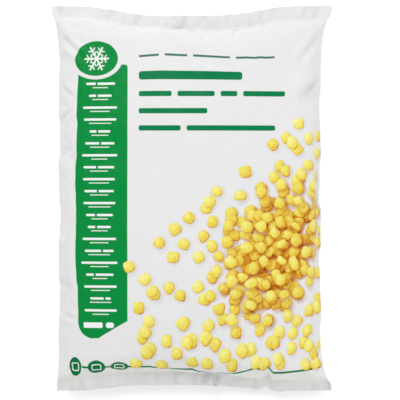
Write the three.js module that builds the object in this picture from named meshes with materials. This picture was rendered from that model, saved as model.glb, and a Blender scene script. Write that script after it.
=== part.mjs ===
// A filled pillow bag of frozen vegetables, lying on its back with the printed front up.
// The bag is one tube of plastic film, welded flat across both ends.
// Millimetres. +X runs across the bag, +Y towards its top seal, +Z up from the table.
import * as THREE from "three";

// Driving dimensions.
const WAIST_WIDTH = 268; // across the filled tube, between its straight sides
const LENGTH = 397; // from the corners of one seal to those of the other
const FULL_HEIGHT = 60; // from the table to the top of the filling
const SIDE_HEIGHT = 25; // of the tube's side folds above the table
const SEAL_HEIGHT = 17; // of the welded bands above the table
const SEAL_DEPTH = 15; // of the welded band at each end
const FLAP_THICKNESS = 1.2; // of the welded bands, and of the film folded at the sides

// Each end: how far its corners stand out past the sides, and how far the filling draws
// its seal in between them. Places across the bag run from -1 to 1, and so do places along it.
const TOP = { leftSpread: 8, rightSpread: 12.5, dip: 10, dipMiddle: -0.02, wavePhase: 0.6 };
const BOTTOM = { leftSpread: 3, rightSpread: 12, dip: 6, dipMiddle: -0.12, wavePhase: 2.4 };
const DIP_REACH = 0.55; // half of the stretch that is drawn in, as a share of the half width

// How the filling lies in the tube.
const FULLEST = -0.08; // the place along the bag where it is thickest
const TAPER = 3.6; // how late the filling thins towards the seals: a higher number is later
const BLUNTNESS = 0.62; // how it closes at the seals: 0.5 is round and 1 is a wedge
const CROWN = 2.15; // a section's roundness over the front: 2 is an ellipse
const BELLY = 2.4; // and under the back
const SAG = 7; // how far the underside would bulge below the table, which flattens it
const FLARE = 11; // how close to the corners the sides start to spread

// Ripples in the film: a slow wave and a quick one, in turns for each half of the bag.
const SEAL_WAVE = { depth: 2.2, slow: 1.1, quick: 2.9, start: 0.8 };
const SIDE_WAVE = { depth: 0.9, slow: 2.4, quick: 5.9, start: 0.86, leftPhase: 2.9, rightPhase: 0.7 };
const PLEAT = { depth: 3.5, start: 0.66, reach: 0.16 }; // under the middle of the top seal

// How finely the surface is divided.
const ACROSS_STEPS = 30;
const BODY_STEPS = 36;
const SEAL_STEPS = 2;

const SEAL_LINE = 1 - SEAL_DEPTH / (LENGTH / 2); // the place along the bag where a seal starts
const FRONT = 1;
const BACK = -1;
const { lerp, smoothstep } = THREE.MathUtils;

// How full the tube is at a place along it: 1 at the fullest and 0 at the seals.
function fullness(along) {
  const reach = along > FULLEST ? SEAL_LINE - FULLEST : SEAL_LINE + FULLEST;
  const share = Math.min(Math.abs(along - FULLEST) / reach, 1);
  return (1 - share ** TAPER) ** BLUNTNESS;
}

// A section's height over its side folds, from 1 in the middle to 0 at the folds.
function roundness(across, power) {
  return (1 - Math.abs(across) ** power) ** (1 / power);
}

function endOf(along) {
  return along > 0 ? TOP : BOTTOM;
}

// Half of the bag's width, which spreads by its own amount towards each corner.
function halfWidth(across, along) {
  const end = endOf(along);
  const spread = lerp(end.leftSpread, end.rightSpread, (across + 1) / 2);
  return WAIST_WIDTH / 2 + spread * Math.abs(along) ** FLARE;
}

// How far the film is drawn in from the straight line between a seal's corners.
function sealDip(across, along) {
  const end = endOf(along);
  const hollow = Math.exp(-(((across - end.dipMiddle) / DIP_REACH) ** 4));
  return Math.sign(along) * end.dip * hollow * along ** 4;
}

function ripple(wave, place, phase) {
  const slow = Math.sin(2 * Math.PI * wave.slow * place + phase);
  const quick = Math.sin(2 * Math.PI * wave.quick * place + 2 * phase);
  return wave.depth * (slow + quick / 2);
}

// The welded bands wander up and down, each in its own way.
function sealRipple(across, along) {
  const near = smoothstep(Math.abs(along), SEAL_WAVE.start, 1);
  return near * ripple(SEAL_WAVE, across, endOf(along).wavePhase);
}

// Small tucks in the side folds, which the filling draws in less evenly than the middle.
function sideRipple(across, along) {
  const near = smoothstep(Math.abs(across), SIDE_WAVE.start, 1);
  const phase = across < 0 ? SIDE_WAVE.leftPhase : SIDE_WAVE.rightPhase;
  return near * fullness(along) * ripple(SIDE_WAVE, along, phase);
}

// A soft fold of the front film, running down from the middle of the top seal.
function pleat(across, along) {
  const down = smoothstep(along, PLEAT.start, SEAL_LINE) * (1 - smoothstep(along, SEAL_LINE, 1));
  return PLEAT.depth * down * Math.exp(-((across / PLEAT.reach) ** 2));
}

// The point of the front or the back film at a place across and along the bag.
function filmPoint(across, along, face) {
  const full = fullness(along);
  const fold = lerp(SEAL_HEIGHT, SIDE_HEIGHT, full) + sealRipple(across, along);
  const x = across * (halfWidth(across, along) - sideRipple(across, along));
  const y = along * (LENGTH / 2) - sealDip(across, along);
  let z = fold + (face * FLAP_THICKNESS) / 2;
  if (face === FRONT) {
    z += (FULL_HEIGHT - SIDE_HEIGHT - FLAP_THICKNESS / 2) * full * roundness(across, CROWN);
    z -= pleat(across, along);
  } else {
    z -= (SIDE_HEIGHT + SAG) * full * roundness(across, BELLY);
  }
  return new THREE.Vector3(x, y, Math.max(z, 0));
}

// Places across the bag: close together by the side folds, where the film turns quickly.
function placesAcross() {
  const angles = Array.from({ length: ACROSS_STEPS + 1 }, (_, i) => (Math.PI * i) / ACROSS_STEPS);
  return angles.map((angle) => -Math.cos(angle));
}

// Places along the bag, from the bottom edge to the top: close together by the seals.
function placesAlong() {
  const places = [];
  for (let i = 0; i < SEAL_STEPS; i++) {
    places.push(lerp(-1, -SEAL_LINE, i / SEAL_STEPS));
  }
  for (let i = 0; i <= BODY_STEPS; i++) {
    places.push(-SEAL_LINE * Math.cos((Math.PI * i) / BODY_STEPS));
  }
  for (let i = 1; i <= SEAL_STEPS; i++) {
    places.push(lerp(SEAL_LINE, 1, i / SEAL_STEPS));
  }
  return places;
}

// One closed loop round the tube: over the front from left to right, and back under it.
function loopAt(along, columns) {
  const front = columns.map((across) => filmPoint(across, along, FRONT));
  const back = columns.map((across) => filmPoint(across, along, BACK));
  return [...front, ...back.reverse()];
}

// A closed surface through the loops, with each end capped between its front and back film.
function loftedGeometry(loops) {
  const around = loops[0].length;
  const last = (loops.length - 1) * around;
  const index = [];
  const quad = (a, b, c, d) => index.push(a, b, c, a, c, d);
  for (let start = 0; start < last; start += around) {
    for (let i = 0; i < around; i++) {
      const next = (i + 1) % around;
      quad(start + i, start + next, start + around + next, start + around + i);
    }
  }
  for (let i = 0; i + 1 < around / 2; i++) {
    const under = around - 1 - i;
    quad(i, under, under - 1, i + 1);
    quad(last + i, last + i + 1, last + under - 1, last + under);
  }
  const geometry = new THREE.BufferGeometry().setFromPoints(loops.flat());
  geometry.setIndex(index);
  geometry.computeVertexNormals();
  return geometry;
}

// The geometry, moved so that the middle of its underside is the origin.
function standing(geometry) {
  geometry.computeBoundingBox();
  const middle = geometry.boundingBox.getCenter(new THREE.Vector3());
  return geometry.translate(-middle.x, -middle.y, -geometry.boundingBox.min.z);
}

function filledBag() {
  const columns = placesAcross();
  const loops = placesAlong().map((along) => loopAt(along, columns));
  const film = new THREE.MeshStandardMaterial({ color: 0xeeeeee, roughness: 0.4, metalness: 0 });
  const bag = new THREE.Mesh(standing(loftedGeometry(loops)), film);
  bag.name = "bag";
  return bag;
}

const part = new THREE.Group();
part.add(filledBag());

export default part;
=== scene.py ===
# A filled pillow bag of frozen sweetcorn, lying on its back on a white floor, seen from straight above.
# The scene is in metres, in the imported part's frame: +X across the bag, +Y towards its top seal, +Z up.
# The film has coordinates of its own, in millimetres from the middle of its front, which the print uses.
import math

import bpy
import numpy as np
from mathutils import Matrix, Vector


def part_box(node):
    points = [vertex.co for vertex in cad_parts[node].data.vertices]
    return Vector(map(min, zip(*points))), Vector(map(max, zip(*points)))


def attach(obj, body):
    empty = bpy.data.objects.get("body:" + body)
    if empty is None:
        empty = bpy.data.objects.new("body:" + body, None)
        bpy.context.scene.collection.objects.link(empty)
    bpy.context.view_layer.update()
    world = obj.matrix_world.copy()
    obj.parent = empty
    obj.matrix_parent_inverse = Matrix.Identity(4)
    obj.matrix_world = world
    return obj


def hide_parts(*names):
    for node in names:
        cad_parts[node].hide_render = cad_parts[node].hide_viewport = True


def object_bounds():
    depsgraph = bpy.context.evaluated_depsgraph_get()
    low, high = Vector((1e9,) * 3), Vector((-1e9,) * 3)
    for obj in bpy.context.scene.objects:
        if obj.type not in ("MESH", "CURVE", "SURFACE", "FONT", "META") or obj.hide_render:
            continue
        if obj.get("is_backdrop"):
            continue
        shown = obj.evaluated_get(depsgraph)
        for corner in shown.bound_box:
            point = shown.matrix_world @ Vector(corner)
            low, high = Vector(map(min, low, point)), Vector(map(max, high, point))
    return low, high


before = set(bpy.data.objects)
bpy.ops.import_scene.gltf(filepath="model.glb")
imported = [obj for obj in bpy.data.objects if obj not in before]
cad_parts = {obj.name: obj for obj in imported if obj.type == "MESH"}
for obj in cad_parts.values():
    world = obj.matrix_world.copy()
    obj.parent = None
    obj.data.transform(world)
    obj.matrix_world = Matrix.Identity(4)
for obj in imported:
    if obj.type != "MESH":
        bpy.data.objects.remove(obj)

CAD_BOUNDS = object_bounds()
MM = 0.001

# The flat tube that the bag is made from, in millimetres.
FILM_WIDTH = 290
FILM_LENGTH = 400
SEAL_DEPTH = 15
CELL = 5  # of the grid that the cloth simulation runs on
REFINING = 3  # how many times finer the finished film's grid is
SEAL_LINE = FILM_LENGTH / 2 - SEAL_DEPTH  # from the film's middle to where a welded band starts
HALF_THICKNESS = 0.25  # of a welded band

# How the cloth simulation fills the tube.
FILL_VOLUME = 0.0043  # cubic metres that the pressure aims for, and comes close to
FILL_PRESSURE = 5  # how hard it aims
FILM_MASS = 0.3  # in kilograms, and heavier than real film so that it settles calmly
SETTLING_FRAMES = 40
TUBE_HEIGHT = 20  # millimetres from the floor to the middle of the tube before it is filled
TUBE_OPENING = 16  # and from there to its front and its back

# Where the fitting to the CAD part's outline starts, from the film's middle, across and along it.
SIDES_FROM = 60
ENDS_FROM = 110

# The camera's place over the floor, and the width of floor in its view, in metres.
VIEW_CENTRE = (0.0083, -0.0016)
VIEW_WIDTH = 0.416
VIEW_HEIGHT = 2.4

# The lights, in metres and watts: name, place, what it points at, size and power.
LIGHTS = [
    ("key", (-0.3, 1.4, 1.85), (0, 0, 0), 2, 31),
    ("fill", (1.2, -1.5, 1.4), (0, 0, 0), 1.6, 12),
    ("rim", (-1.5, 0.5, 0.85), (0, 0, 0.03), 0.35, 1),
]
WORLD_LIGHT = 0.68
FLOOR_GLOW = 0.12  # which keeps the floor white beside the bag


# ---------------------------------------------------------------- the film as a grid

def film_grid(times):
    """The film's own coordinates at each point of a grid times as fine as the simulation's."""
    columns = np.linspace(-FILM_WIDTH / 2, FILM_WIDTH / 2, FILM_WIDTH // CELL * times + 1)
    rows = np.linspace(-FILM_LENGTH / 2, FILM_LENGTH / 2, FILM_LENGTH // CELL * times + 1)
    return np.meshgrid(columns, rows)


def numbered(shared):
    """Vertex numbers of the front and the back film, with one vertex for both wherever shared is true."""
    front = np.arange(shared.size).reshape(shared.shape)
    back = front.copy()
    back[~shared] = shared.size + np.arange(np.count_nonzero(~shared))
    return front, back


def gathered(front_points, back_points, front, back):
    """One list of points from the two grids of them."""
    points = np.zeros((back.max() + 1, 3))
    points[back.ravel()] = back_points.reshape(-1, 3)
    points[front.ravel()] = front_points.reshape(-1, 3)
    return points


def quads(grid):
    """The faces of a grid of vertex numbers, facing up where its columns run to +X and its rows to +Y."""
    return np.stack([grid[:-1, :-1], grid[:-1, 1:], grid[1:, 1:], grid[1:, :-1]], -1).reshape(-1, 4)


def mesh_object(name, points, faces):
    mesh = bpy.data.meshes.new(name)
    mesh.from_pydata(np.asarray(points).tolist(), [], np.asarray(faces).tolist())
    mesh.update()
    piece = bpy.data.objects.new(name, mesh)
    bpy.context.scene.collection.objects.link(piece)
    return piece


def smooth(value, low, high):
    """0 below low, 1 above high, and a smooth rise between them."""
    t = np.clip((value - low) / (high - low), 0, 1)
    return t * t * (3 - 2 * t)


# ---------------------------------------------------------------- filling the bag

def flat_tube():
    """The film before it is filled, opened a little: its points, and its front and back vertex numbers."""
    across, along = film_grid(1)
    welded = np.abs(along) > SEAL_LINE - 0.5
    folded = np.abs(across) > FILM_WIDTH / 2 - 0.5
    front, back = numbered(welded | folded)
    opening = TUBE_OPENING * (1 - (across / (FILM_WIDTH / 2)) ** 2)
    from_seal = (SEAL_LINE - np.abs(along)) / SEAL_LINE
    opening = opening * (1 - (1 - np.clip(1.6 * from_seal, 0, 1)) ** 2)
    layers = [np.stack([across, along, TUBE_HEIGHT + side * opening], -1) * MM for side in (1, -1)]
    return gathered(*layers, front, back), front, back


def cloth_on(tube, inside):
    """Plastic film that the pressure of its filling, on the vertices of inside, blows up on the floor."""
    pressed = tube.vertex_groups.new(name="pressed")
    pressed.add(inside, 1.0, "REPLACE")
    cloth = tube.modifiers.new("film", "CLOTH")
    film = cloth.settings
    film.quality = 8
    film.mass = FILM_MASS / len(tube.data.vertices)
    film.air_damping = 5
    film.tension_stiffness = 40
    film.compression_stiffness = 20
    film.shear_stiffness = 10
    film.bending_stiffness = 0.5
    film.bending_damping = 0.5
    film.use_pressure = True
    film.use_pressure_volume = True
    film.uniform_pressure_force = 0
    film.pressure_factor = FILL_PRESSURE
    film.target_volume = FILL_VOLUME
    film.vertex_group_pressure = pressed.name
    cloth.collision_settings.collision_quality = 2
    cloth.collision_settings.distance_min = 0.001


def table_top():
    """Something for the film to settle on."""
    corners = [(-1, -1, 0), (1, -1, 0), (1, 1, 0), (-1, 1, 0)]
    table = mesh_object("table_top", corners, [(0, 1, 2, 3)])
    table.modifiers.new("collision", "COLLISION")
    table.collision.thickness_outer = 0.001
    table.collision.cloth_friction = 5
    return table


def filled_tube():
    """Grids of the points of the front and the back film, once the filled bag has settled."""
    points, front, back = flat_tube()
    seal_rows = SEAL_DEPTH // CELL
    body = slice(seal_rows, len(back) - seal_rows)
    faces = np.concatenate([quads(front), quads(back[body])[:, ::-1]])
    tube = mesh_object("tube", points, faces)
    inner = slice(seal_rows + 1, len(back) - seal_rows - 1)
    inside = np.union1d(front[inner], back[inner])
    cloth_on(tube, inside.tolist())
    table = table_top()
    scene = bpy.context.scene
    scene.frame_end = SETTLING_FRAMES
    for number in range(1, SETTLING_FRAMES + 1):
        scene.frame_set(number)
    settled = tube.evaluated_get(bpy.context.evaluated_depsgraph_get()).to_mesh()
    places = np.zeros(len(points) * 3)
    settled.vertices.foreach_get("co", places)
    scene.frame_set(1)
    for helper in (tube, table):
        bpy.data.objects.remove(helper)
    places = places.reshape(-1, 3)
    return places[front], places[back]


# ---------------------------------------------------------------- fitting it to the CAD part

def cad_edges(axis, slices=60):
    """Places along the other horizontal axis, and how low and high the CAD part reaches on axis there."""
    points = np.array([vertex.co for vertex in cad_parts["bag"].data.vertices])
    other = points[:, 1 - axis]
    middles = np.linspace(other.min(), other.max(), slices)
    reach = 1.2 * (middles[1] - middles[0])
    near = [points[np.abs(other - middle) < reach, axis] for middle in middles]
    return middles, np.array([n.min() for n in near]), np.array([n.max() for n in near])


def stretched_to_cad(front, back):
    """The settled film, with its outline and its height brought to the CAD part's."""
    layers = np.stack([front, back])
    across, along = film_grid(1)
    along = along[:, 0]
    lowest, highest = layers[..., 2].min(), layers[..., 2].max()
    layers[..., 2] = (layers[..., 2] - lowest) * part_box("bag")[1].z / (highest - lowest)

    rows, left_edge, right_edge = cad_edges(0)
    left_shift = np.interp(along * MM, rows, left_edge) - layers[..., 0].min((0, 2))
    right_shift = np.interp(along * MM, rows, right_edge) - layers[..., 0].max((0, 2))
    layers[..., 0] += smooth(-across, SIDES_FROM, FILM_WIDTH / 2) * left_shift[:, None]
    layers[..., 0] += smooth(across, SIDES_FROM, FILM_WIDTH / 2) * right_shift[:, None]

    columns, bottom_edge, top_edge = cad_edges(1)
    for row, edge, towards in ((0, bottom_edge, -1), (-1, top_edge, 1)):
        shift = np.interp(layers[0, row, :, 0], columns, edge) - layers[0, row, :, 1]
        near = smooth(towards * along, ENDS_FROM, SEAL_LINE)
        layers[..., 1] += near[:, None] * shift
    return layers[0], layers[1]


# ---------------------------------------------------------------- the finished film

def refined_along(points, times):
    """Points on a smooth curve through points, with times as many steps along the first axis."""
    padded = np.concatenate([2 * points[:1] - points[1:2], points, 2 * points[-1:] - points[-2:-1]])
    place = np.arange((len(points) - 1) * times + 1) / times
    start = np.minimum(place.astype(int), len(points) - 2)
    t = (place - start).reshape(-1, *[1] * (points.ndim - 1))
    a, b, c, d = (padded[start + step] for step in range(4))
    return b + t / 2 * (c - a + t * (2 * a - 5 * b + 4 * c - d + t * (3 * (b - c) + d - a)))


def refined(grid, times):
    """A grid of values, made times as fine both ways."""
    return refined_along(refined_along(grid, times).swapaxes(0, 1), times).swapaxes(0, 1)


def lumps(shape, spacing, seed):
    """Smooth random heights of about 1, with bumps about spacing grid steps apart."""
    random = np.random.default_rng(seed)
    coarse = random.normal(size=[side // spacing + 2 for side in shape])
    return refined(coarse, spacing)[:shape[0], :shape[1]]


def crease(across, along, start, end, width, depth):
    """A soft fold between two places on the film: a groove with a lip on each side, fading to its ends."""
    run = np.subtract(end, start)
    length = np.hypot(*run)
    share = ((across - start[0]) * run[0] + (along - start[1]) * run[1]) / length**2
    aside = ((across - start[0]) * run[1] - (along - start[1]) * run[0]) / length
    fade = smooth(share, 0, 0.3) * (1 - smooth(share, 0.5, 1))
    profile = (2 * (aside / width) ** 2 - 1) * np.exp(-((aside / width) ** 2))
    return depth * fade * profile


# Creases of the front film: from, to, half width and depth, in millimetres.
CREASES = [
    ((-144, 168), (-108, 134), 4.5, 2.2),
    ((-144, 180), (-96, 162), 5, 1.4),
    ((-118, 178), (-104, 170), 3, 0.8),
    ((-2, 186), (4, 158), 6, 2.4),
    ((-30, 184), (-22, 166), 5, 1.3),
    ((52, 186), (40, 160), 5, 1.5),
    ((92, 184), (84, 164), 5, 1.1),
    ((144, 168), (110, 132), 6, 2.0),
    ((146, 122), (118, 104), 6, 2.0),
    ((148, 124), (112, 88), 13, 3.2),
    ((-144, 118), (-120, 100), 4, 1.8),
    ((-144, 78), (-118, 94), 4, 1.6),
    ((-143, -118), (-116, -126), 4, 1.1),
    ((-140, -180), (-100, -160), 5, 1.0),
    ((-60, -186), (-52, -166), 5, 0.9),
    ((20, -186), (30, -164), 5, 1.1),
    ((142, -178), (110, -156), 6, 1.2),
]


def between_seals(along):
    """1 over the filling, fading to 0 at the welded bands."""
    return 1 - smooth(np.abs(along), SEAL_LINE - 12, SEAL_LINE)


def front_relief(across, along):
    """How far the front film stands out, in millimetres, over the settled shape."""
    relief = 0.3 * between_seals(along) * lumps(across.shape, 11, seed=11)
    relief += 0.04 * between_seals(along) * lumps(across.shape, 4, seed=12)
    for start, end, width, depth in CREASES:
        relief += crease(across, along, start, end, width, depth)
    return relief


def back_relief(across, along):
    """The same for the back film, which has no creases."""
    return 0.2 * between_seals(along) * lumps(across.shape, 4, seed=31)


def seal_relief(across, along):
    """Flutes in the welded bands, which fade out where the bands end."""
    near = smooth(np.abs(along), FILM_LENGTH / 2 - 1.1 * SEAL_DEPTH, FILM_LENGTH / 2 - 0.5 * SEAL_DEPTH)
    flutes = [refined_along(np.random.default_rng(seed).normal(size=60), 3) for seed in (21, 22)]
    flutes = [row[:across.shape[1]] for row in flutes]
    return 1.2 * near * np.where(along > 0, flutes[0], flutes[1])


def film_piece(front_points, back_points):
    """The bag's film as one closed mesh, whose front and back meet along the edges of the flat tube."""
    across, along = film_grid(REFINING)
    rim = np.zeros(across.shape, bool)
    rim[[0, -1], :] = True
    rim[:, [0, -1]] = True
    front, back = numbered(rim)
    points = gathered(refined(front_points, REFINING), refined(back_points, REFINING), front, back)
    faces = np.concatenate([quads(front), quads(back)[:, ::-1]])
    bag = mesh_object("film", points, faces)

    normals = np.zeros(points.size)
    bag.data.vertices.foreach_get("normal", normals)
    relief = np.zeros(len(points))
    fluting = seal_relief(across, along)
    off_folds = 1 - smooth(np.abs(across), FILM_WIDTH / 2 - 12, FILM_WIDTH / 2)
    relief[back.ravel()] = (HALF_THICKNESS - fluting + off_folds * back_relief(across, along)).ravel()
    relief[front.ravel()] = (HALF_THICKNESS + fluting + off_folds * front_relief(across, along)).ravel()
    relief[front[rim]] = 0
    points += relief[:, None] * normals.reshape(-1, 3) * MM
    points[:, 2] = np.maximum(points[:, 2], 0)
    bag.data.vertices.foreach_set("co", points.ravel())
    bag.data.shade_smooth()
    sharpened(bag.data, front[rim])
    bag.data.update()
    add_film_maps(bag, across, along, front, back)
    return bag


def sharpened(mesh, vertices):
    """Keeps the shading of the two sides apart along the edges of the flat tube, between these vertices."""
    ends = np.zeros(len(mesh.edges) * 2, int)
    mesh.edges.foreach_get("vertices", ends)
    cut = np.isin(ends, vertices).reshape(-1, 2).all(1)
    mesh.attributes.new("sharp_edge", "BOOLEAN", "EDGE").data.foreach_set("value", cut)


def add_film_maps(bag, across, along, front, back):
    """The map that the print uses, in millimetres round the tube, and a second one for baking, which lays the
    front and the back side by side.
    """
    flat = np.zeros((len(bag.data.vertices), 2))
    flat[back.ravel()] = np.stack([across.ravel(), along.ravel()], -1)
    flat[front.ravel()] = np.stack([across.ravel(), along.ravel()], -1)
    corners = flat[np.concatenate([quads(front), quads(back)[:, ::-1]])]
    behind = np.arange(len(corners)) >= len(corners) // 2
    side = np.sign(corners[..., 0].mean(1))
    unrolled = corners.copy()
    unrolled[behind, :, 0] = (side * FILM_WIDTH)[behind, None] - corners[behind, :, 0]
    share = corners / (FILM_WIDTH, FILM_LENGTH) + 0.5
    baked = np.empty_like(share)
    baked[..., 0] = np.where(behind[:, None], 0.725 + 0.27 * share[..., 0], 0.005 + 0.71 * share[..., 0])
    baked[..., 1] = 0.005 + 0.99 * share[..., 1]
    for name, places in (("Film", unrolled), ("OFBake", baked)):
        bag.data.uv_layers.new(name=name).data.foreach_set("uv", places.ravel())


# ---------------------------------------------------------------- drawing with shader nodes

def linear(red, green, blue):
    """A colour for a shader, from the 0 to 255 values that a screen shows."""
    shares = (value / 255 for value in (red, green, blue))
    return (*(s / 12.92 if s <= 0.04045 else ((s + 0.055) / 1.055) ** 2.4 for s in shares), 1)


class Field:
    """A number that varies over the surface: a node's output, which Python's operators pass to Math nodes."""

    def __init__(self, tree, socket):
        self.tree = tree
        self.socket = socket

    def math(self, operation, *values, clamp=False):
        node = self.tree.nodes.new("ShaderNodeMath")
        node.operation = operation
        node.use_clamp = clamp
        for socket, value in zip(node.inputs, values):
            fill(self.tree, socket, value)
        return Field(self.tree, node.outputs[0])

    def __add__(self, other):
        return self.math("ADD", self, other)

    __radd__ = __add__

    def __sub__(self, other):
        return self.math("SUBTRACT", self, other)

    def __rsub__(self, other):
        return self.math("SUBTRACT", other, self)

    def __mul__(self, other):
        return self.math("MULTIPLY", self, other)

    def __truediv__(self, other):
        return self.math("DIVIDE", self, other)

    def __pow__(self, other):
        return self.math("POWER", self, other)

    def __abs__(self):
        return self.math("ABSOLUTE", self)

    def __lt__(self, other):
        return self.math("LESS_THAN", self, other)

    def __gt__(self, other):
        return self.math("GREATER_THAN", self, other)

    def __round__(self):
        return self.math("ROUND", self)

    def least(self, other):
        return self.math("MINIMUM", self, other)

    def most(self, other):
        return self.math("MAXIMUM", self, other)

    def share(self):
        return self.math("ADD", self, 0, clamp=True)

    def fraction(self):
        return self.math("FRACT", self)

    def sine(self):
        return self.math("SINE", self)

    def cosine(self):
        return self.math("COSINE", self)

    def exponential(self):
        return self.math("EXPONENT", self)

    def angle(self, beside):
        return self.math("ARCTAN2", self, beside)

    def random(self):
        """A random number from 0 to 1 that is the same wherever this field is."""
        node = self.tree.nodes.new("ShaderNodeTexWhiteNoise")
        node.noise_dimensions = "1D"
        fill(self.tree, node.inputs["W"], self)
        return Field(self.tree, node.outputs["Value"])


def fill(tree, socket, value):
    """Links a field or a socket to an input, or sets the input to a plain value."""
    if isinstance(value, Field):
        value = value.socket
    if isinstance(value, bpy.types.NodeSocket):
        tree.links.new(value, socket)
    else:
        socket.default_value = value


def length(x, y):
    return (x * x + y * y) ** 0.5


def turned(x, y, angle):
    """The coordinates, turned so that what is drawn in them turns by angle."""
    if isinstance(angle, Field):
        c, s = angle.cosine(), angle.sine()
    else:
        c, s = math.cos(angle), math.sin(angle)
    return x * c + y * s, y * c - x * s


def bar(x, y, half_width, half_height, rounding):
    """Distance outside a bar with rounded corners round the origin, and less than 0 inside it."""
    over_x = abs(x) - half_width + rounding
    over_y = abs(y) - (half_height - rounding)
    outside = length(over_x.most(0), over_y.most(0))
    return outside + over_x.most(over_y).least(0) - rounding


def inked(distance, softness=0.25):
    """1 where a distance is less than 0, with an edge as soft as print."""
    return (0.5 - distance / (2 * softness)).share()


def painted(tree, share, under, over, blend="MIX"):
    """The colour under, covered by the colour over, or multiplied by it, in a share from 0 to 1."""
    node = tree.nodes.new("ShaderNodeMix")
    node.data_type = "RGBA"
    node.blend_type = blend
    fill(tree, node.inputs["Factor"], share)
    fill(tree, node.inputs["A"], under)
    fill(tree, node.inputs["B"], over)
    return node.outputs["Result"]


def vector(tree, x, y):
    node = tree.nodes.new("ShaderNodeCombineXYZ")
    fill(tree, node.inputs["X"], x)
    fill(tree, node.inputs["Y"], y)
    return node.outputs["Vector"]


def parts_of(tree, socket):
    """The three numbers of a vector or a colour."""
    node = tree.nodes.new("ShaderNodeSeparateXYZ")
    fill(tree, node.inputs[0], socket)
    return [Field(tree, output) for output in node.outputs]


def noise(tree, x, y, size, detail=2):
    """Smooth noise from 0 to 1 with features about size across."""
    node = tree.nodes.new("ShaderNodeTexNoise")
    node.noise_dimensions = "2D"
    fill(tree, node.inputs["Vector"], vector(tree, x, y))
    node.inputs["Scale"].default_value = 1 / size
    node.inputs["Detail"].default_value = detail
    return Field(tree, node.outputs["Fac"])


# ---------------------------------------------------------------- the print, in film millimetres

GREEN = linear(0, 131, 58)
TEXT_GREEN = linear(0, 117, 68)
SMALL_TEXT_GREEN = linear(60, 110, 84)
LINE_GREEN = linear(0, 108, 58)
FILM_WHITE = linear(217, 217, 217)
# The welded bands are a little greyer than the film: partly the weld's own tone, partly painted shade where
# the bands turn away from the light.
SEAL_GREY_AND_SHADE = linear(213, 213, 212)
LOW_WHITE = linear(217, 217, 213)
PRINT_WHITE = linear(228, 230, 228)

STRIP_LEFT = -119.5  # at the bottom
STRIP_LEAN = 5.5  # how much further left the strip's left side is at the top
STRIP_RIGHT = -65.5
STRIP_TOP = 135
STRIP_BOTTOM = -142
STRIP_CORNER = -124.5  # where its foot's slant meets the right side
STRIP_SLANT = math.radians(28.7)
STRIP_HEEL = 16  # radius of its rounded bottom left corner
STRIP_MIDDLE = -94.5
BADGE = (-100, 140.5)  # where the emblem is
BADGE_HALF = (24, 16)
BADGE_GAP = 3.4  # the white line between the badge and the strip

ROWS = 20  # of bars down the strip
ROW_PITCH = 12.16
ROWS_TOP = 115
WEIGHT_LEVEL = -129

LINE_LEVEL = -171  # of the thin green line near the bottom
LINE_ENDS = (-118, 141)
LINE_HUMP = (66, 15, 6)  # its middle, half width and height
MARKS = [(-125, 6.5, 20), (-101, 10, 14.5), (-75.5, 10, 10.5)]  # on the line: middle, half width, height

HEADLINES = [  # height on the film, thickness, and lengths of the words
    (142.5, 2, (20.4, 22.9, 37.4, 41.8)),
    (124.5, 8, (105.4,)),
    (106.5, 5.4, (33.4, 37.8, 17, 46)),
    (89, 5.4, (69.7,)),
    (71.5, 5.4, (42.7, 91.2)),
]
HEADLINE_START = -54
WORD_GAP = 6


def within_badge(x, y):
    """How far out from the middle of the badge a place is, as a share of the way to its edge."""
    return length((x - BADGE[0]) / BADGE_HALF[0], (y - BADGE[1]) / BADGE_HALF[1])


def strip(tree, x, y, colour):
    """The green strip down the left, rounded below and hollowed above for the badge."""
    height = STRIP_TOP - STRIP_BOTTOM
    left = STRIP_LEFT - ((y - STRIP_BOTTOM) / height).share() * STRIP_LEAN
    half = (STRIP_RIGHT - left) * 0.5
    body = bar(x - left - half, y - (STRIP_TOP + STRIP_BOTTOM) / 2, half, height / 2, 3)
    foot = (x - STRIP_RIGHT) * math.sin(STRIP_SLANT) - (y - STRIP_CORNER) * math.cos(STRIP_SLANT)
    heel_x, heel_y = x - (STRIP_LEFT + STRIP_HEEL), y - (STRIP_BOTTOM + STRIP_HEEL)
    heel = length(heel_x.least(0), heel_y.least(0)) - STRIP_HEEL
    hollow = (1 - within_badge(x, y)) * BADGE_HALF[1] + BADGE_GAP
    return painted(tree, inked(body.most(foot).most(heel).most(hollow)), colour, GREEN)


def badge(tree, x, y, colour):
    """A green oval with a plain snowflake, which says that the food is frozen."""
    colour = painted(tree, inked((within_badge(x, y) - 1) * BADGE_HALF[1]), colour, GREEN)
    x, y = (x - BADGE[0]) * 0.88, y - BADGE[1]
    sixth = math.pi / 3
    turn = abs((y.angle(x) / sixth + 0.5).fraction() - 0.5) * sixth
    out = length(x, y) * turn.cosine()
    aside = length(x, y) * turn.sine()
    shape = bar(out - 6.2, aside, 6, 0.8, 0.5)
    for place, reach in ((4.3, 1.8), (7.6, 2.1)):
        twig_x, twig_y = turned(out - place, aside, sixth)
        shape = shape.least(bar(twig_x - reach, twig_y, reach, 0.55, 0.4))
    return painted(tree, inked(shape), colour, PRINT_WHITE)


def strip_rows(tree, x, y, colour):
    """Pairs of white bars down the strip, a thick one over a thin one, each as long as chance has it."""
    row = round((ROWS_TOP - y) / ROW_PITCH)
    beyond = abs(row - (ROWS - 1) / 2) > ROWS / 2
    here = y - ROWS_TOP + row * ROW_PITCH + beyond * 99
    chance = row.random()
    second_chance = (row + 40).random()
    thick = bar(x - STRIP_MIDDLE, here - 1.8, chance * 8 + 11, 1.15, 1)
    between_words = 1.1 - abs(x - STRIP_MIDDLE - (second_chance - 0.5) * 12) - (chance > 0.6) * 9
    thin = bar(x - STRIP_MIDDLE, here + 2.1, second_chance * 5 + 7.5, 0.45, 0.4)
    return painted(tree, inked(thick.most(between_words).least(thin)), colour, PRINT_WHITE)


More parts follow.
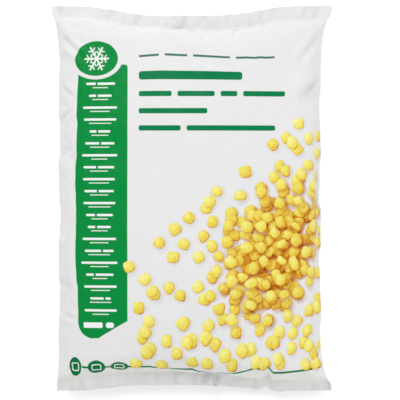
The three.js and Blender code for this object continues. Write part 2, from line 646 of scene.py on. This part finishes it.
def weight_bars(tree, x, y, colour):
    """Two plain bars where a pack states its weight."""
    first = bar(x + 103, y - WEIGHT_LEVEL, 10.5, 2.7, 1.2)
    second = bar(x + 84.5, y - WEIGHT_LEVEL, 4.4, 2.7, 2.4)
    return painted(tree, inked(first.least(second)), colour, PRINT_WHITE)


def headlines(tree, x, y, colour):
    """Lines of plain bars, as long as words, where the pack names what is in it."""
    for level, thickness, words in HEADLINES:
        start = HEADLINE_START
        shape = None
        for word in words:
            mark = bar(x - (start + word / 2), y - level, word / 2, thickness / 2, thickness / 3)
            shape = mark if shape is None else shape.least(mark)
            start += word + WORD_GAP
        ink = SMALL_TEXT_GREEN if thickness < 3 else TEXT_GREEN
        colour = painted(tree, inked(shape), colour, ink)
    return colour


def footer(tree, x, y, colour):
    """A thin green line with a low hump, and three green blobs on it with plain marks of cooking pots."""
    below = ((LINE_LEVEL - y) / 2).share()
    colour = painted(tree, below, colour, LOW_WHITE, "DARKEN")
    hump_middle, hump_half, hump_height = LINE_HUMP
    hump = (0 - ((x - hump_middle) / hump_half) ** 2).exponential() * hump_height
    shape = (abs(y - LINE_LEVEL - hump) - 1).most(LINE_ENDS[0] - x).most(x - LINE_ENDS[1])
    pots = None
    for middle, half, height in MARKS:
        blob = length((x - middle) / half, (y - LINE_LEVEL) / (height / 2)) - 1
        shape = shape.least(blob * (height / 2))
        pot = abs(bar(x - middle, y - LINE_LEVEL, half * 0.5, height * 0.2, 1)) - 0.5
        pots = pot if pots is None else pots.least(pot)
    colour = painted(tree, inked(shape), colour, LINE_GREEN)
    return painted(tree, inked(pots), colour, PRINT_WHITE)


# Printed sweetcorn: a heap near the right edge, thinning out to the left and below.
HEAP = (86, -50)
HEAP_REACH = (80, 54)  # along the heap and across it
HEAP_LEAN = math.radians(62)  # from +X to the direction that it runs in
SCATTER_EDGE = (-64, -55)  # a place on the slanting line above which there are no kernels
SCATTER_SLOPE = math.radians(40)
KERNELS_LEFT = -112  # the furthest left that there are kernels
KERNELS_TOP = 84
KERNELS_RIGHT = 148  # just round the right side fold
MARKS_RIGHT = -62  # kernels keep clear of the marks on the green line, to the left of this
MARKS_ROOM = 18  # and up to this far over the line
LOOSE_CHANCES = (0.6, 0.1)  # of a loose kernel at the edge of the scatter, in the first layers
KERNEL_LAYERS = 9
KERNEL_PITCH = 19  # from one cell of a layer's uneven grid to the next
KERNEL_UNEVENNESS = 0.45  # of that grid: 0 is a square one
KERNEL_SIZE = 6.6  # half of a large kernel's width
KERNEL_SQUARENESS = 3  # 2 is an ellipse
KERNEL_LIGHT = math.radians(130)  # from +X to where the light on the printed kernels comes from
LOOSE_SHADOW = (0.88, 0.86, 0.84, 1)  # what a kernel's shadow leaves of the light on bare film
HEAP_SHADOW = (0.84, 0.6, 0.4, 1)  # and on other kernels

KERNEL_TONES = [  # from the shaded side to the lit one
    (0.0, linear(168, 108, 36)),
    (0.25, linear(208, 158, 52)),
    (0.5, linear(220, 194, 74)),
    (0.72, linear(225, 213, 96)),
    (1.0, linear(234, 229, 146)),
]


def kernel_density(x, y, loose_chance):
    """The chance from 0 to 1 that a layer has a kernel at a place, and how deep in the heap that is."""
    along_heap, across_heap = turned(x - HEAP[0], y - HEAP[1], HEAP_LEAN)
    from_heap = length(along_heap / HEAP_REACH[0], across_heap / HEAP_REACH[1])
    heap = (1.55 - from_heap * 1.2).share()
    _, over_edge = turned(x - SCATTER_EDGE[0], y - SCATTER_EDGE[1], SCATTER_SLOPE)
    beside_strip = (x > STRIP_RIGHT - 1).most(y < STRIP_BOTTOM)
    clear_of_marks = (x > MARKS_RIGHT).most(y > LINE_LEVEL + MARKS_ROOM)
    within = (y > LINE_LEVEL) * (y < KERNELS_TOP) * (x > KERNELS_LEFT)
    printed = (over_edge < -4) * within * beside_strip * clear_of_marks
    loose = (loose_chance - (over_edge / 400).least(0)) * (loose_chance > 0)
    chance = (heap * heap).most(loose)
    return chance * printed * ((KERNELS_RIGHT - x) / 10).share(), heap


def toned(tree, share):
    """A kernel's colour, from 0 at its most shaded to 1 at its most lit."""
    node = tree.nodes.new("ShaderNodeValToRGB")
    fill(tree, node.inputs["Fac"], share)
    ramp = node.color_ramp
    while len(ramp.elements) < len(KERNEL_TONES):
        ramp.elements.new(0.5)
    for element, (place, tone) in zip(ramp.elements, KERNEL_TONES):
        element.position = place
        element.color = tone
    return node.outputs["Color"]


def kernel_cells(tree, x, y, layer):
    """How far a place is from the seed of its cell in a layer's grid, and that cell's three random numbers.

    Each layer's grid is turned and moved, so that its kernels lie in places of its own.
    """
    layer_turn = layer * 1.1 + 0.7
    grid_x, grid_y = turned(x + layer * 311, y - layer * 173, layer_turn)
    cells = tree.nodes.new("ShaderNodeTexVoronoi")
    cells.voronoi_dimensions = "2D"
    cells.inputs["Scale"].default_value = 1 / KERNEL_PITCH
    cells.inputs["Randomness"].default_value = KERNEL_UNEVENNESS
    fill(tree, cells.inputs["Vector"], vector(tree, grid_x, grid_y))
    seed_x, seed_y, _ = parts_of(tree, cells.outputs["Position"])
    from_x, from_y = turned(grid_x - seed_x, grid_y - seed_y, 0 - layer_turn)
    return from_x, from_y, parts_of(tree, cells.outputs["Color"])


def kernel_outline(from_x, from_y, spin, build, heap, bends):
    """From 0 at a kernel's seed to 1 at its outline: uneven, squarish, and in the heap often slim."""
    own_x, own_y = turned(from_x, from_y, spin * math.tau)
    slimness = ((build * 7).fraction() ** 2) * (heap * 0.75 + 0.25)
    own_x = own_x * (1 + bends * 0.35) / ((build * 13).fraction() * 1.2 + (KERNEL_SIZE - 1))
    own_y = own_y * (1 + bends * 0.3) / (KERNEL_SIZE - 0.5 - slimness * 3)
    own_x = own_x / (1 - own_y * 0.13)
    return abs(own_x) ** KERNEL_SQUARENESS + abs(own_y) ** KERNEL_SQUARENESS


def kernel_tone(from_x, from_y, rim, spin, layer, heap, dents):
    """How lit a kernel is: less towards its rim, on its far side from the light, and deep in the heap."""
    lit, _ = turned(from_x / KERNEL_SIZE, from_y / KERNEL_SIZE, KERNEL_LIGHT)
    shine = (1 - length(from_x + 1.6, from_y - 1.8) / 5).share() * 0.12
    depth = (KERNEL_LAYERS - 1 - layer) / KERNEL_LAYERS
    tone = 0.71 + lit * 0.18 + dents * 0.4 + shine - heap * (depth * 0.32 + 0.1)
    tone = tone - rim * rim.share() * (0.4 - lit * 0.3) + ((spin * 17).fraction() - 0.5) * 0.24
    return tone.share()


def kernel_layer(tree, x, y, layer, loose_chance, bends, dents, colour):
    """One layer of kernels with their shadows: each cell of its grid holds one kernel or none."""
    from_x, from_y, (chance, spin, build) = kernel_cells(tree, x, y, layer)
    density, heap = kernel_density(x - from_x, y - from_y, loose_chance)
    present = chance < density

    shadow = (1.42 - length(from_x - 1.5, from_y + 1.7) / KERNEL_SIZE) * (1.25 + heap)
    shadow_tone = painted(tree, heap, LOOSE_SHADOW, HEAP_SHADOW)
    colour = painted(tree, shadow.share() * present, colour, shadow_tone, "MULTIPLY")

    rim = kernel_outline(from_x, from_y, spin, build, heap, bends)
    inside = ((1 - rim) * 6).share() * present
    tone = kernel_tone(from_x, from_y, rim, spin, layer, heap, dents)
    return painted(tree, inside, colour, toned(tree, tone))


def kernel_layer_group():
    """A node group that paints one layer of kernels over a colour."""
    group = bpy.data.node_groups.new("kernel_layer", "ShaderNodeTree")
    numbers = ("x", "y", "layer", "loose_chance", "bends", "dents")
    for name in numbers:
        group.interface.new_socket(name, in_out="INPUT", socket_type="NodeSocketFloat")
    for direction in ("INPUT", "OUTPUT"):
        group.interface.new_socket("colour", in_out=direction, socket_type="NodeSocketColor")
    given = group.nodes.new("NodeGroupInput").outputs
    values = {name: Field(group, given[name]) for name in numbers}
    result = kernel_layer(group, colour=given["colour"], **values)
    fill(group, group.nodes.new("NodeGroupOutput").inputs["colour"], result)
    return group


def kernels(tree, x, y, colour):
    """All the layers of kernels, the lowest first."""
    group = kernel_layer_group()
    bends = noise(tree, x, y, 9, detail=1) - 0.5
    dents = noise(tree, x + 91, y, 3.4, detail=1) - 0.5
    loose_chances = LOOSE_CHANCES + (0,) * (KERNEL_LAYERS - len(LOOSE_CHANCES))
    for layer, loose_chance in enumerate(loose_chances):
        node = tree.nodes.new("ShaderNodeGroup")
        node.node_tree = group
        for socket, value in zip(node.inputs, (x, y, layer, loose_chance, bends, dents, colour)):
            fill(tree, socket, value)
        colour = node.outputs["colour"]
    return colour


def printed_film(tree):
    """The film's coordinates, how much of it is welded band, from 0 to 1, and its colour."""
    places = tree.nodes.new("ShaderNodeUVMap")
    places.uv_map = "Film"
    x, y, _ = parts_of(tree, places.outputs["UV"])
    welded = ((abs(y) - SEAL_LINE) / 2 + 0.5).share()
    # The welded bands get the greyer white, which is partly painted shade.
    colour = painted(tree, welded, FILM_WHITE, SEAL_GREY_AND_SHADE)
    for part in (strip, badge, strip_rows, weight_bars, headlines, footer, kernels):
        colour = part(tree, x, y, colour)
    return x, y, welded, colour


def film_material():
    """Printed film with a soft gloss, with fine wrinkles all over and fine ribs in its welded bands."""
    material = bpy.data.materials.new("printed_film")
    material.use_nodes = True
    tree = material.node_tree
    shader = tree.nodes["Principled BSDF"]
    x, y, welded, colour = printed_film(tree)
    fill(tree, shader.inputs["Base Color"], colour)
    fill(tree, shader.inputs["Roughness"], welded * 0.14 + 0.28)
    shader.inputs["Specular IOR Level"].default_value = 0.09
    ribs = (x * (math.tau / 1.8)).sine() * welded * 0.06
    wrinkles = noise(tree, x, y * 0.6, 16, detail=3) * 0.35
    bump = tree.nodes.new("ShaderNodeBump")
    bump.inputs["Strength"].default_value = 0.5
    bump.inputs["Distance"].default_value = MM
    fill(tree, bump.inputs["Height"], ribs + wrinkles)
    fill(tree, shader.inputs["Normal"], bump.outputs["Normal"])
    return material


# ---------------------------------------------------------------- the room

def white_floor():
    """A plain floor that glows a little."""
    half = 4
    corners = [(-half, -half, 0), (half, -half, 0), (half, half, 0), (-half, half, 0)]
    floor = mesh_object("floor", corners, [(0, 1, 2, 3)])
    material = bpy.data.materials.new("floor_white")
    material.use_nodes = True
    inputs = material.node_tree.nodes["Principled BSDF"].inputs
    inputs["Base Color"].default_value = (1, 1, 1, 1)
    inputs["Roughness"].default_value = 0.9
    inputs["Emission Color"].default_value = (1, 1, 1, 1)
    inputs["Emission Strength"].default_value = FLOOR_GLOW
    floor.data.materials.append(material)
    floor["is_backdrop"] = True


def softbox(name, place, aim, size, power):
    """A square area light at place that points at aim."""
    light = bpy.data.lights.new(name, "AREA")
    light.size = size
    light.energy = power
    lamp = bpy.data.objects.new(name, light)
    bpy.context.scene.collection.objects.link(lamp)
    lamp.location = place
    lamp.rotation_mode = "QUATERNION"
    lamp.rotation_quaternion = Vector(np.subtract(aim, place)).to_track_quat("-Z", "Y")


def white_world():
    world = bpy.data.worlds.new("studio")
    world.use_nodes = True
    background = world.node_tree.nodes["Background"]
    background.inputs["Color"].default_value = (1, 1, 1, 1)
    background.inputs["Strength"].default_value = WORLD_LIGHT
    bpy.context.scene.world = world


def camera_above():
    """The photograph's view: square on to the printed front, from far enough that nothing looks bent."""
    data = bpy.data.cameras.new("camera")
    data.sensor_width = 36
    data.lens = data.sensor_width * VIEW_HEIGHT / VIEW_WIDTH
    data.clip_end = 20
    camera = bpy.data.objects.new("camera", data)
    bpy.context.scene.collection.objects.link(camera)
    camera.location = (*VIEW_CENTRE, VIEW_HEIGHT)
    bpy.context.scene.camera = camera


def main():
    bpy.context.scene.view_settings.view_transform = "Standard"
    front, back = stretched_to_cad(*filled_tube())
    bag = film_piece(front, back)
    bag.data.materials.append(film_material())
    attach(bag, "root")
    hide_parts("bag")
    white_floor()
    white_world()
    for light in LIGHTS:
        softbox(*light)
    camera_above()
    sizes = {"cad": CAD_BOUNDS, "visual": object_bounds()}
    plain = {name: [[float(n) for n in corner] for corner in box] for name, box in sizes.items()}


main()
